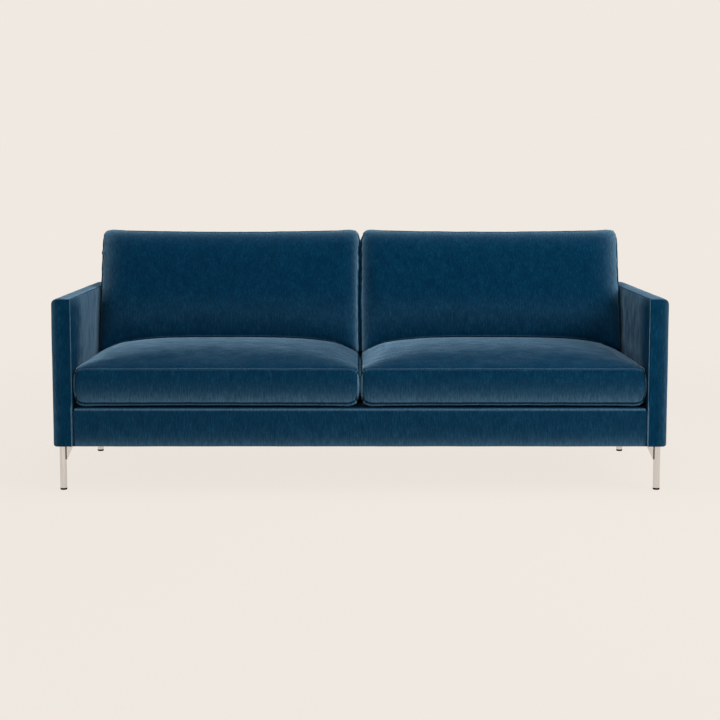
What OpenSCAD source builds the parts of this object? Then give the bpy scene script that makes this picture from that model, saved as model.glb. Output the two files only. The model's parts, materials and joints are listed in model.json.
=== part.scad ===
// Tuxedo sofa: thin arms and a back of one height, loose seat and back cushions, tube legs.
// Millimetres. The origin is on the floor under the middle, +Z is up and the front faces -Y.

/* [Overall] */
// Width over both arms
sofa_w = 2040; // [1800:10:2400]
// Depth from the arms' fronts to the outside back
sofa_d = 910; // [860:5:980]
// Height of the arms and of the back frame
arm_h = 647; // [600:1:700]
// Thickness of an arm, and of the back at its top
arm_t = 63; // [60:1:90]
// Radius of the arms' long edges
arm_edge_r = 7; // [3:1:12]
// Height of the base's underside above the floor
base_z = 156; // [110:2:200]

/* [Upholstery layers] */
// Thickness of the velvet cover
skin_t = 1.5; // [1:0.1:2.5]
// Foam on the sides of an arm
side_pad_t = 6; // [4:0.5:9]
// Foam on fronts, backs and tops
edge_pad_t = 8; // [5:0.5:12]
// Board between the frame and the foam
board_t = 2.5; // [2:0.5:4]
// Foam on the inside back
back_pad_t = 20; // [15:1:30]
// Thickness of the dust cover under the base
dust_t = 1; // [0.8:0.1:1.5]
// Distance of the dust cover's edge from the sofa's outline
dust_inset = 14; // [8:1:20]

/* [Frame] */
// Thickness of the rails
rail_t = 32; // [25:1:40]
// Width of the posts, seen from the side
post_w = 50; // [40:1:70]
// Height of the arms' top rails
top_rail_h = 40; // [30:1:60]
// Height of a side rail above the springs' tops
side_rail_rise = 25; // [15:1:40]
// Height of the rail at the foot of the outside back
foot_rail_h = 40; // [30:1:60]
// Thickness of the plywood ribs in the back
rib_t = 18; // [12:1:25]
// Width of the stretcher under the seat
stretcher_w = 32; // [25:1:45]
// Free height between the stretcher and the springs
spring_sag = 34; // [25:1:50]
// Side of a corner block
block_side = 60; // [40:1:80]
// Height of a corner block
block_h = 70; // [50:1:80]

/* [Seat deck] */
// Height of the front rail's top
rail_z = 285; // [270:1:300]
// Rise of the deck above the front rail
deck_step = 6.6; // [4:0.1:12]
// Depth of the front rail's top
rail_depth = 76; // [65:1:90]
// Radius of the front rail's upper corners
rail_corner_r = 16; // [8:1:20]
// Thickness of the deck cloth
cloth_t = 1.2; // [0.8:0.1:2]
// Thickness of the deck's padding
deck_pad_t = 12; // [8:1:20]
// Thickness of the felt on the springs
felt_t = 4; // [2:0.5:6]
// Thickness of the spring wire
wire_t = 3.8; // [3:0.1:4.5]
// Width of a sinuous spring
spring_w = 54; // [50:1:60]
// Number of springs
spring_n = 8; // [6:2:10]
// Largest distance between the crossbars of a spring
bar_pitch = 35.5; // [33:0.5:36]
// Thickness of a spring clip's strap
clip_t = 1; // [0.8:0.1:1.5]
// Width of a spring clip
clip_w = 15; // [10:1:16]

/* [Back] */
// Recline of the inside back and of the back cushions
recline = 18.5; // [14:0.5:22]
// Number of webbing straps in the back
strap_n = 4; // [3:1:5]
// Width of a webbing strap
strap_w = 50; // [40:1:60]
// Thickness of a webbing strap
strap_t = 2.5; // [1.5:0.5:3]

/* [Legs] */
// Diameter of a leg's tube
leg_d = 23; // [19:1:28]
// Wall of the tube
leg_wall = 1.6; // [1.2:0.2:2.5]
// Distance of a leg's axis from the outer side of the arm
leg_inset_x = 20; // [18:1:24]
// Distance of a leg's axis from the front or the back
leg_inset_y = 60; // [40:1:100]
// Side of the square mounting plate
plate_w = 52; // [48:1:54]
// Distance of a leg's axis from the plate's nearer edges
plate_edge = 14; // [12:1:16]
// Thickness of the mounting plate
plate_t = 5; // [3:0.5:6]
// Thickness of a gusset
gusset_t = 4.5; // [3:0.5:6]
// Width of a gusset at the plate
gusset_w = 24; // [18:1:25]
// Height of a gusset
gusset_h = 52; // [40:1:70]
// Height of a glide's foot
glide_h = 7; // [5:0.5:12]
// Diameter of a glide's foot
glide_d = 23.5; // [19:0.5:28]
// Length of a glide's plug in the tube
glide_plug = 16; // [10:1:25]
// Diameter of a leg screw's shank
screw_d = 4.5; // [4:0.5:6]
// Diameter of a leg screw's head
screw_head_d = 9; // [8:0.5:11]
// Height of a leg screw's head
screw_head_h = 2.5; // [2:0.5:4]
// Length of a leg screw's shank
screw_len = 35; // [25:1:45]
// Distance of the outer screws from the plate's far edges
screw_edge = 12; // [11:0.5:14]

/* [Seat cushions] */
// Height of the boxing between the seams
seat_boxing = 109; // [90:1:130]
// Rise of the crown above the upper seam
seat_crown = 72; // [40:1:80]
// Fall of the underside below the lower seam
seat_belly = 12; // [5:1:18]
// Corner radius seen from above
seat_corner_r = 28; // [15:1:45]
// Distance of the front face behind the arms' fronts
seat_setback = 6; // [2:1:15]
// Depth by which the seams are drawn in
seat_draw = 5; // [2:0.5:8]
// Depth by which the front is drawn in between its corners
seat_bow = 2; // [0:0.5:6]

/* [Back cushions] */
// Thickness of the boxing between the seams
back_boxing = 214; // [150:2:220]
// Length from the lower to the upper boxing
back_len = 398; // [340:1:440]
// Rise of the front face's crown
back_crown = 14; // [8:1:30]
// Rise of the rear face's crown
back_belly = 16; // [8:1:25]
// Corner radius seen from the front
back_corner_r = 26; // [15:1:45]
// Gap beside a back cushion, at the arm and between the two
back_side_gap = 10; // [4:1:15]
// Depth by which the seams are drawn in
back_draw = 4; // [2:0.5:8]
// Depth by which the upper edge is drawn in between its ears
back_bow = 7; // [2:0.5:12]
// Depth by which the sides are drawn in between their corners
back_side_bow = 2; // [0:0.5:5]

/* [Cushion fillings] */
// Thickness of a cushion's cover
cover_t = 2; // [1.5:0.1:3]
// Thickness of the fibre wrap on the sides of the core
wrap_t = 18; // [14:1:30]
// Thickness of the fibre wrap under and over the core
wrap_face_t = 8; // [6:1:20]
// Width of the zip's pocket
zip_w = 18; // [14:1:22]
// Depth of the zip's pocket
zip_depth = 6.5; // [5.5:0.1:8]
// Distance of the zip's ends from the cushion's sides
zip_margin = 80; // [50:1:140]
// Thickness of the zip's tape
tape_t = 1; // [0.8:0.1:1.2]
// Width of the zip's chain
chain_w = 5; // [4:0.5:6]
// Height of the zip's chain
chain_h = 1.4; // [1:0.1:1.8]
// Length of the slider
slider_l = 12; // [9:1:16]
// Width of the slider
slider_w = 9; // [8:0.5:11]
// Height of the slider
slider_h = 3.2; // [2.6:0.1:3.6]
// Length of the pull tab
tab_l = 22; // [15:1:30]
// Width of the pull tab
tab_w = 6; // [4:0.5:8]
// Thickness of the pull tab
tab_t = 1.2; // [0.8:0.1:1.4]

/* [Hidden] */
// clearances: beside and under soft pieces, in moving pieces, round screws and beside their heads
soft_gap = 0.4;
slip_gap = 0.2;
screw_gap = 0.15;
head_gap = 0.6;
// overrun of the cuts
over = 5;
$fn = 48;

velvet = "#1c4a66";
timber = "#c9a26b";
plywood = "#d8b77f";
foam_colour = "#efe3b4";
fibre_colour = "#f4f4f0";
felt_colour = "#8a8378";
black_cloth = "#26262a";
steel = "#9aa0a6";
nickel = "#cdc6be";
glide_colour = "#17171a";
card = "#b59468";
strap_colour = "#3b3b3f";

front = -sofa_d / 2;
back = sofa_d / 2;
arm_out = sofa_w / 2;
arm_in = arm_out - arm_t;

// the frame inside the arms
frame_out = arm_out - skin_t - side_pad_t - board_t;
frame_in = arm_in + skin_t + side_pad_t + board_t;
frame_y0 = front + skin_t + edge_pad_t;
frame_y1 = back - skin_t - edge_pad_t;
frame_z0 = base_z + skin_t;
frame_z1 = arm_h - skin_t - edge_pad_t;
top_rail_z = frame_z1 - top_rail_h;

// the seat deck, from its top down
deck_z = rail_z + deck_step;
pad_z = deck_z - cloth_t;
felt_z = pad_z - deck_pad_t;
spring_top = felt_z - felt_t;
spring_z = spring_top - wire_t;
side_rail_z = spring_top + side_rail_rise;
deck_y0 = front + rail_depth;
clip_top = spring_top + slip_gap + clip_t;
clip_y = frame_y0 + rail_t / 2;
clip_l = wire_t + 2 * slip_gap + 2 * clip_t;

// the inside back is a plane that leans by the recline
function inside_back(z) = back - arm_t + tan(recline) * (z - arm_h);
lay_skin = skin_t / cos(recline);
lay_pad = lay_skin + back_pad_t / cos(recline);
lay_strap = lay_pad + strap_t / cos(recline);
deck_y1 = inside_back(spring_top);
back_rail_y = inside_back(spring_z) + lay_strap;
rib_back = back - skin_t - board_t;
spring_pitch = 2 * frame_in / spring_n;
rear_clip_y = back_rail_y + rail_t / 2;

// the seat cushions
seat_z = deck_z + soft_gap + seat_belly;
seat_w = arm_in - 3 / 2 * soft_gap;
seat_x = (arm_in - soft_gap / 2) / 2;
seat_y0 = front + seat_setback;
seat_y1 = inside_back(deck_z) - soft_gap;
seat_d = seat_y1 - seat_y0;
seat_y = (seat_y0 + seat_y1) / 2;

// the back cushions' front seams lie in a plane that meets the seat's crown at foot_y, foot_z
back_w = arm_in - 3 / 2 * back_side_gap;
back_x = (arm_in - back_side_gap / 2) / 2;
back_stack = (back_boxing + back_belly + soft_gap) / cos(recline);
function crown_share(u, v) = pow(max(0, 1 - pow(abs(u), 4)) * max(0, 1 - pow(abs(v), 3)), 0.8);
function seat_top(y) = seat_z + seat_boxing + seat_crown * crown_share(0, 2 * (y - seat_y) / seat_d);
function foot_at(n) = n == 0 ? seat_z + seat_boxing + seat_crown
    : seat_top(inside_back(foot_at(n - 1)) - back_stack) + soft_gap;
foot_z = foot_at(6);
foot_y = inside_back(foot_z) - back_stack;

// a cushion's sizes, and the plane [y, z, slope] that presses it flat from above
seat = [seat_w, seat_d, seat_boxing, seat_crown, seat_belly, seat_corner_r, seat_draw, seat_bow, 0,
    [foot_y - seat_y, foot_z - seat_z - soft_gap, -tan(recline)]];
backrest = [back_w, back_len, back_boxing, back_crown, back_belly, back_corner_r, back_draw, back_bow,
    back_side_bow, [0, back_boxing + 2 * back_crown, 0]];

// a box between two corners
module box(a, b) translate(a) cube(b - a);

// an outline in X and Z, run from y0 to y1
module along_y(y0, y1) translate([0, y1, 0]) rotate([90, 0, 0]) linear_extrude(y1 - y0) children();

// an outline in Y and Z, run from x0 to x1
module along_x(x0, x1) translate([x0, 0, 0]) rotate([90, 0, 90]) linear_extrude(x1 - x0) children();

// the right side's piece as it is, or mirrored to the left
module at_side(s) mirror([s < 0 ? 1 : 0, 0, 0]) children();

// a quarter turn of an outline about c, from angle a
function quarter(c, r, a, n) = [for (i = [0 : n]) c + r * [cos(a + 90 * i / n), sin(a + 90 * i / n)]];

// a rectangle with rounded upper corners
module tablet(x0, x1, z0, z1, r) polygon(concat([[x0, z0], [x1, z0]],
    quarter([x1 - r, z1 - r], r, 0, 6), quarter([x0 + r, z1 - r], r, 90, 6)));

// a layer that leans like the inside back, between two horizontal depths behind its plane
module leaning(d0, d1, z0, z1) polygon([[inside_back(z0) + d0, z0], [inside_back(z0) + d1, z0],
    [inside_back(z1) + d1, z1], [inside_back(z1) + d0, z1]]);

// Frame

module front_rail() color(timber)
    box([-frame_in, frame_y0, frame_z0], [frame_in, frame_y0 + rail_t, spring_z]);

module seat_back_rail() color(timber)
    box([-frame_in, back_rail_y, frame_z0], [frame_in, back_rail_y + rail_t, spring_z]);

module side_rail(s) color(timber) difference() {
    at_side(s) box([frame_in, frame_y0, frame_z0], [frame_out, frame_y1, side_rail_z]);
    leg_screw_places(s) cylinder(d = screw_d, h = screw_len - plate_t);
}

module centre_stretcher() color(timber) box([-stretcher_w / 2, frame_y0 + rail_t, frame_z0],
    [stretcher_w / 2, back_rail_y, spring_z - spring_sag]);

module corner_blocks() color(timber) for (s = [-1, 1]) at_side(s)
    for (y = [[frame_y0 + rail_t, 1], [back_rail_y, -1]])
        translate([frame_in, y[0], spring_z - spring_sag - block_h]) linear_extrude(block_h)
            polygon([[0, 0], [0, y[1] * block_side], [-block_side, 0]]);

module post(s, y) color(timber) at_side(s)
    box([frame_in, y, side_rail_z], [frame_out, y + post_w, top_rail_z]);

module arm_top_rail(s) color(timber) at_side(s)
    box([frame_in, frame_y0, top_rail_z], [frame_out, frame_y1, frame_z1]);

module arm_boards(s) color(card) at_side(s) {
    along_x(frame_in - board_t, frame_in) polygon([[frame_y0, spring_top], [deck_y1, spring_top],
        [inside_back(frame_z1), frame_z1], [frame_y0, frame_z1]]);
    box([frame_out, frame_y0, frame_z0], [frame_out + board_t, frame_y1, frame_z1]);
}

// the plywood rib's outline, seen from the right, around the seat's back rail
module rib_outline() polygon([[back_rail_y + rail_t, frame_z0], [rib_back, frame_z0],
    [rib_back, frame_z1], [inside_back(frame_z1) + lay_strap, frame_z1],
    [back_rail_y, spring_z], [back_rail_y + rail_t, spring_z]]);

module top_rail_outline() intersection() {
    rib_outline();
    translate([0, top_rail_z]) square([sofa_d, top_rail_h]);
}

module foot_rail_outline() translate([rib_back - rail_t, frame_z0]) square([rail_t, foot_rail_h]);

module back_ribs() color(plywood) {
    for (s = [-1, 1]) at_side(s) {
        along_x(frame_in - rib_t, frame_in) rib_outline();
        along_x(spring_pitch - rib_t / 2, spring_pitch + rib_t / 2) difference() {
            rib_outline();
            top_rail_outline();
            foot_rail_outline();
        }
    }
}

module back_top_rail() color(timber)
    along_x(-frame_in + rib_t, frame_in - rib_t) top_rail_outline();

module back_foot_rail() color(timber)
    along_x(-frame_in + rib_t, frame_in - rib_t) foot_rail_outline();

module back_board() color(card)
    box([-arm_in, rib_back, frame_z0], [arm_in, back - skin_t, frame_z1]);

module back_webbing() color(strap_colour) {
    step = (frame_z1 - side_rail_z) / strap_n;
    for (i = [0 : strap_n - 1])
        along_x(-frame_in, frame_in) leaning(lay_pad, lay_strap,
            side_rail_z + (i + 0.5) * step - strap_w / 2, side_rail_z + (i + 0.5) * step + strap_w / 2);
}

// Seat springs

spring_len = rear_clip_y - clip_y;
spring_bars = 1 + ceil(spring_len / bar_pitch);
bar_step = spring_len / (spring_bars - 1);
bend_x = spring_w / 2 - bar_step / 2 - wire_t / 2;

bend_n = 4;
// the way in which the last crossbar runs
last_way = spring_bars % 2 == 0 ? -1 : 1;

// one side of the wire: each crossbar leads into a half turn, to the right and the left in turn
function wire_side(off) = concat([[-bend_x, off]], [for (k = [0 : spring_bars - 2], i = [0 : bend_n])
    let (s = k % 2 == 0 ? 1 : -1, a = -90 + s * 180 * i / bend_n)
        [s * bend_x, (k + 0.5) * bar_step] + (bar_step / 2 - s * off) * [cos(a), sin(a)]],
    [[last_way * bend_x, (spring_bars - 1) * bar_step + last_way * off]]);
function reversed(list) = [for (i = [len(list) - 1 : -1 : 0]) list[i]];

module at_springs() for (i = [0 : spring_n - 1])
    translate([(i + 0.5) * spring_pitch - frame_in, 0, 0]) children();

module seat_springs() color(steel) at_springs() translate([0, clip_y, spring_z])
    linear_extrude(wire_t) polygon(concat(wire_side(-wire_t / 2), reversed(wire_side(wire_t / 2))));

module spring_clips() color(steel) at_springs() for (y = [clip_y, rear_clip_y]) difference() {
    box([-clip_w / 2, y - clip_l / 2, spring_z], [clip_w / 2, y + clip_l / 2, clip_top]);
    box([-clip_w, y - clip_l / 2 + clip_t, spring_z - over],
        [clip_w, y + clip_l / 2 - clip_t, spring_top + slip_gap]);
}

// Deck

module seat_felt() color(felt_colour)
    box([-arm_in, deck_y0, spring_top], [arm_in, deck_y1, felt_z]);

module deck_pad() color(foam_colour)
    box([-arm_in, deck_y0, felt_z], [arm_in, deck_y1, pad_z]);

module deck_cloth() color(black_cloth) along_x(-arm_in, arm_in) polygon([[deck_y0 - cloth_t, rail_z],
    [deck_y0, rail_z], [deck_y0, pad_z], [deck_y1, pad_z], [deck_y1, deck_z], [deck_y0 - cloth_t, deck_z]]);

// Foam and covers

// what the inner side of an arm leaves out, below the deck and behind the inside back
module arm_inner_void(x0, y0, y1) along_x(x0, frame_in) polygon([[y0, frame_z0], [y1, frame_z0],
    [y1, frame_z1], [inside_back(frame_z1), frame_z1], [deck_y1, spring_top], [y0, spring_top]]);

module arm_foam(s) color(foam_colour) at_side(s) difference() {
    along_y(front + skin_t, back - skin_t)
        tablet(arm_in + skin_t, arm_out - skin_t, frame_z0, arm_h - skin_t, arm_edge_r - skin_t);
    box([frame_in - board_t, frame_y0, frame_z0 - over], [frame_out + board_t, frame_y1, frame_z1]);
    arm_inner_void(arm_in, frame_y0, rib_back);
}

module arm_cover(s) color(velvet) difference() {
    at_side(s) difference() {
        along_y(front, back) tablet(arm_in, arm_out, base_z, arm_h, arm_edge_r);
        along_y(front + skin_t, back - skin_t)
            tablet(arm_in + skin_t, arm_out - skin_t, frame_z0, arm_h - skin_t, arm_edge_r - skin_t);
        arm_inner_void(arm_in - over, front + skin_t, back - skin_t);
    }
    leg_screw_places(s) translate([0, 0, -over]) cylinder(d = screw_d + 2 * screw_gap, h = 3 * over);
}

module back_foam() color(foam_colour) along_x(-arm_in, arm_in) polygon([
    [deck_y1 + lay_skin, spring_top], [deck_y1 + lay_pad, spring_top],
    [inside_back(frame_z1) + lay_pad, frame_z1], [back - skin_t, frame_z1],
    [back - skin_t, arm_h - skin_t], [inside_back(arm_h - skin_t) + lay_skin, arm_h - skin_t]]);

module inside_back_cover() color(velvet) along_x(-arm_in, arm_in) polygon([
    [deck_y1, spring_top], [deck_y1 + lay_skin, spring_top],
    [inside_back(arm_h - skin_t) + lay_skin, arm_h - skin_t], [back, arm_h - skin_t],
    [back, arm_h], [inside_back(arm_h), arm_h]]);

module outside_back_cover() color(velvet) along_x(-arm_in, arm_in) polygon([
    [rib_back - rail_t, base_z], [back, base_z], [back, arm_h - skin_t],
    [back - skin_t, arm_h - skin_t], [back - skin_t, frame_z0], [rib_back - rail_t, frame_z0]]);

module front_rail_foam() color(foam_colour) intersection() {
    along_x(-arm_in, arm_in) polygon([[front + skin_t, frame_z0], [frame_y0, frame_z0],
        [frame_y0, clip_top + soft_gap], [deck_y0, clip_top + soft_gap],
        [deck_y0, rail_z - skin_t], [front + skin_t, rail_z - skin_t]]);
    along_y(front, deck_y0) tablet(-arm_in, arm_in, frame_z0, rail_z - skin_t, rail_corner_r - skin_t);
}

module front_rail_cover() color(velvet) intersection() {
    along_x(-arm_in, arm_in) polygon([[front, base_z], [frame_y0 + rail_t, base_z],
        [frame_y0 + rail_t, frame_z0], [front + skin_t, frame_z0], [front + skin_t, rail_z - skin_t],
        [deck_y0, rail_z - skin_t], [deck_y0, rail_z], [front, rail_z]]);
    along_y(front, deck_y0) tablet(-arm_in, arm_in, base_z, rail_z, rail_corner_r);
}

module dust_cover() color(black_cloth) difference() {
    box([-arm_out + dust_inset, front + dust_inset, base_z - dust_t],
        [arm_out - dust_inset, back - dust_inset, base_z]);
    for (s = [-1, 1]) leg_screw_places(s) translate([0, 0, -over])
        cylinder(d = screw_d + 2 * screw_gap, h = 2 * over);
}

// Legs

leg_x = arm_out - leg_inset_x;
leg_y = front + leg_inset_y;
plate_z = base_z - dust_t;

// the piece for the right front leg, moved to the side s and the front or the back, end
module at_leg(s, end) at_side(s) mirror([0, end > 0 ? 1 : 0, 0]) translate([leg_x, leg_y, 0]) children();

// the three screws of each leg on side s, from the top of the plate
module leg_screw_places(s) for (end = [-1, 1]) at_leg(s, end) for (p = screw_places)
    translate([p[0], p[1], plate_z]) children();
screw_far = plate_w - plate_edge - screw_edge;
// the inner screws' heads stand just clear of the gussets
screw_near = (gusset_t + screw_head_d) / 2 + head_gap;
screw_places = [[-screw_far, -screw_near], [-screw_far, screw_far], [-screw_near, screw_far]];

// a triangle that runs out from the tube under the plate
module gusset() rotate([90, 0, 0]) translate([0, 0, -gusset_t / 2]) linear_extrude(gusset_t)
    polygon([[-leg_d / 2 + leg_wall / 2, plate_z - plate_t], [-leg_d / 2 - gusset_w, plate_z - plate_t],
        [-leg_d / 2 + leg_wall / 2, plate_z - plate_t - gusset_h]]);

module leg(s, end) color(nickel) at_leg(s, end) difference() {
    union() {
        box([plate_edge - plate_w, -plate_edge, plate_z - plate_t],
            [plate_edge, plate_w - plate_edge, plate_z]);
        translate([0, 0, glide_h]) cylinder(d = leg_d, h = plate_z - plate_t - glide_h);
        gusset();
        rotate([0, 0, -90]) gusset();
    }
    translate([0, 0, glide_h - over])
        cylinder(d = leg_d - 2 * leg_wall, h = plate_z - plate_t - glide_h + over);
    for (p = screw_places) translate([p[0], p[1], plate_z - plate_t - over])
        cylinder(d = screw_d + 2 * screw_gap, h = plate_t + 2 * over);
}

module leg_glides() color(glide_colour) for (s = [-1, 1], end = [-1, 1]) at_leg(s, end) {
    cylinder(d = glide_d, h = glide_h);
    cylinder(d = leg_d - 2 * leg_wall, h = glide_h + glide_plug);
}

module leg_screws() color(steel) for (s = [-1, 1]) leg_screw_places(s) {
    translate([0, 0, -plate_t]) cylinder(d = screw_d, h = screw_len);
    translate([0, 0, -plate_t - screw_head_h]) cylinder(d = screw_head_d, h = screw_head_h);
}

// Cushions

corner_n = 3;
long_n = 5;
short_n = 3;
// the rings of a cushion, from its underside up, as shares of its plan and of its boxing
belly_ring_shares = [0.5, 0.9];
side_ring_shares = [0.3, 0.7];
crown_ring_shares = [0.96, 0.86, 0.68, 0.4];

function between(a, b, n) = [for (i = [1 : n]) a + (b - a) * i / (n + 1)];

// the plan of a cushion, a rectangle with round corners
function plan(w, d, r) = let (x = w / 2 - r, y = d / 2 - r) concat(
    quarter([x, -y], r, -90, corner_n), between([w / 2, -y], [w / 2, y], short_n),
    quarter([x, y], r, 0, corner_n), between([x, d / 2], [-x, d / 2], long_n),
    quarter([-x, y], r, 90, corner_n), between([-w / 2, y], [-w / 2, -y], short_n),
    quarter([-x, -y], r, 180, corner_n), between([-x, -d / 2], [x, -d / 2], long_n));

// the plan's points, drawn in between the corners and by e all round but at the zip's side
function drawn(p, w, d, e, bow, side_bow) = [
    p.x * (1 - 2 * e / w - 2 * side_bow / w * (1 - pow(2 * p.y / d, 2))),
    p.y + (e + (p.y < 0 ? bow * (1 - pow(2 * p.x / w, 2)) : 0)) * (0.5 - p.y / d)];

// a cushion's form, i smaller all round: its lower seam is at z = 0 and its zip at +Y
module cushion_form(c, i) {
    w = c[0] - 2 * i;
    d = c[1] - 2 * i;
    t = c[2] - i;
    rim = plan(w, d, c[5] - i);
    n = len(rim);
    seam = [for (p = rim) drawn(p, w, d, c[6], c[7], c[8])];
    side = [for (p = rim) drawn(p, w, d, 0, c[7], c[8])];
    rings = concat(
        [for (s = belly_ring_shares) [for (p = seam)
            [s * p.x, s * p.y, i - c[4] * crown_share(2 * s * p.x / w, 2 * s * p.y / d)]]],
        [[for (p = seam) [p.x, p.y, i]]],
        [for (s = side_ring_shares) [for (p = side) [p.x, p.y, i + s * (t - i)]]],
        [[for (p = seam) [p.x, p.y, t]]],
        [for (s = crown_ring_shares) [for (p = seam) [s * p.x, s * p.y, crown_z(c, i, t, s * p, w, d)]]]);
    m = len(rings);
    points = concat([for (ring = rings) each ring],
        [[0, 0, i - c[4]], [0, 0, crown_z(c, i, t, [0, 0], w, d)]]);
    polyhedron(points, concat(
        [for (j = [0 : m - 2], k = [0 : n - 1]) [j * n + k, (j + 1) * n + k, (j + 1) * n + (k + 1) % n]],
        [for (j = [0 : m - 2], k = [0 : n - 1]) [j * n + k, (j + 1) * n + (k + 1) % n, j * n + (k + 1) % n]],
        [for (k = [0 : n - 1]) [m * n, k, (k + 1) % n]],
        [for (k = [0 : n - 1]) [m * n + 1, (m - 1) * n + (k + 1) % n, (m - 1) * n + k]]));
}

// the crown's height at a point of the plan, or the pressing plane's where that is lower
function crown_z(c, i, t, p, w, d) = min(t + c[3] * crown_share(2 * p.x / w, 2 * p.y / d),
    c[9][1] + c[9][2] * (p.y - c[9][0]) - i / cos(recline));

function zip_l(c) = c[0] - 2 * zip_margin;

// the zip's pocket, e larger all round
module zip_pocket(c, e, out) box([-zip_l(c) / 2 - e, c[1] / 2 - zip_depth - e, c[2] / 2 - zip_w / 2 - e],
    [zip_l(c) / 2 + e, c[1] / 2 + out, c[2] / 2 + zip_w / 2 + e]);

module cushion_cover(c) color(velvet) difference() {
    cushion_form(c, 0);
    cushion_form(c, cover_t);
    zip_pocket(c, 0, over);
}

// half the width and depth of a cushion's core
function core_half(c) = [c[0] / 2 - cover_t - wrap_t, c[1] / 2 - cover_t - wrap_t];

// the core's block, e larger all round
module core_box(c, e) box([-core_half(c).x - e, -core_half(c).y - e, cover_t + wrap_face_t - e],
    [core_half(c).x + e, core_half(c).y + e, c[2] - cover_t - wrap_face_t + e]);

module cushion_wrap(c) color(fibre_colour) difference() {
    cushion_form(c, cover_t + soft_gap);
    core_box(c, soft_gap);
    zip_pocket(c, soft_gap, over);
}

module cushion_core(c) color(foam_colour) core_box(c, 0);

module cushion_zip(c) color(black_cloth) {
    difference() {
        zip_pocket(c, 0, 0);
        zip_pocket(c, -tape_t, over);
    }
    box([-zip_l(c) / 2 + tape_t, c[1] / 2 - zip_depth + tape_t, c[2] / 2 - chain_w / 2],
        [zip_l(c) / 2 - tape_t, c[1] / 2 - zip_depth + tape_t + chain_h, c[2] / 2 + chain_w / 2]);
}

module zip_slider(c) color(nickel)
    translate([-zip_l(c) / 2 + tape_t + slip_gap, c[1] / 2 - zip_depth + tape_t + slip_gap, c[2] / 2]) {
        difference() {
            box([0, 0, -slider_w / 2], [slider_l, slider_h, slider_w / 2]);
            box([-over, -over, -chain_w / 2 - slip_gap], [slider_l + over, chain_h, chain_w / 2 + slip_gap]);
        }
        box([slider_l / 2, slider_h, -tab_w / 2], [slider_l / 2 + tab_l, slider_h + tab_t, tab_w / 2]);
    }

module at_seat(s) at_side(s) translate([seat_x, seat_y, seat_z]) children();

// a back cushion stands on its zip's side and leans back by the recline
module at_back(s) at_side(s) translate([back_x, foot_y, foot_z]) rotate([recline - 90, 0, 180])
    translate([0, -back_len / 2, -back_boxing]) children();

front_rail();
seat_back_rail();
side_rail(-1);  // left_side_rail
side_rail(1);  // right_side_rail
centre_stretcher();
corner_blocks();
post(-1, frame_y0);  // left_front_post
post(1, frame_y0);  // right_front_post
post(-1, frame_y1 - post_w);  // left_back_post
post(1, frame_y1 - post_w);  // right_back_post
arm_top_rail(-1);  // left_arm_top_rail
arm_top_rail(1);  // right_arm_top_rail
arm_boards(-1);  // left_arm_boards
arm_boards(1);  // right_arm_boards
back_ribs();
back_top_rail();
back_foot_rail();
back_board();
back_webbing();
seat_springs();
spring_clips();
seat_felt();
deck_pad();
deck_cloth();
arm_foam(-1);  // left_arm_foam
arm_foam(1);  // right_arm_foam
back_foam();
front_rail_foam();
arm_cover(-1);  // left_arm_cover
arm_cover(1);  // right_arm_cover
front_rail_cover();
inside_back_cover();
outside_back_cover();
dust_cover();
leg(-1, -1);  // left_front_leg
leg(1, -1);  // right_front_leg
leg(-1, 1);  // left_back_leg
leg(1, 1);  // right_back_leg
leg_glides();
leg_screws();
at_seat(-1) cushion_cover(seat);  // left_seat_cushion_cover
at_seat(-1) cushion_wrap(seat);  // left_seat_cushion_wrap
at_seat(-1) cushion_core(seat);  // left_seat_cushion_core
at_seat(-1) cushion_zip(seat);  // left_seat_zip
at_seat(-1) zip_slider(seat);  // left_seat_zip_slider
at_seat(1) cushion_cover(seat);  // right_seat_cushion_cover
at_seat(1) cushion_wrap(seat);  // right_seat_cushion_wrap
at_seat(1) cushion_core(seat);  // right_seat_cushion_core
at_seat(1) cushion_zip(seat);  // right_seat_zip
at_seat(1) zip_slider(seat);  // right_seat_zip_slider
at_back(-1) cushion_cover(backrest);  // left_back_cushion_cover
at_back(-1) cushion_wrap(backrest);  // left_back_cushion_wrap
at_back(-1) cushion_core(backrest);  // left_back_cushion_core
at_back(-1) cushion_zip(backrest);  // left_back_zip
at_back(-1) zip_slider(backrest);  // left_back_zip_slider
at_back(1) cushion_cover(backrest);  // right_back_cushion_cover
at_back(1) cushion_wrap(backrest);  // right_back_cushion_wrap
at_back(1) cushion_core(backrest);  // right_back_cushion_core
at_back(1) cushion_zip(backrest);  // right_back_zip
at_back(1) zip_slider(backrest);  // right_back_zip_slider
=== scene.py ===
"""A tuxedo sofa in blue velvet: thin boxed arms, loose seat and back cushions, nickel tube legs."""

import json
import math

import bpy
from mathutils import Matrix, Vector, noise
from mathutils.bvhtree import BVHTree

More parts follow.
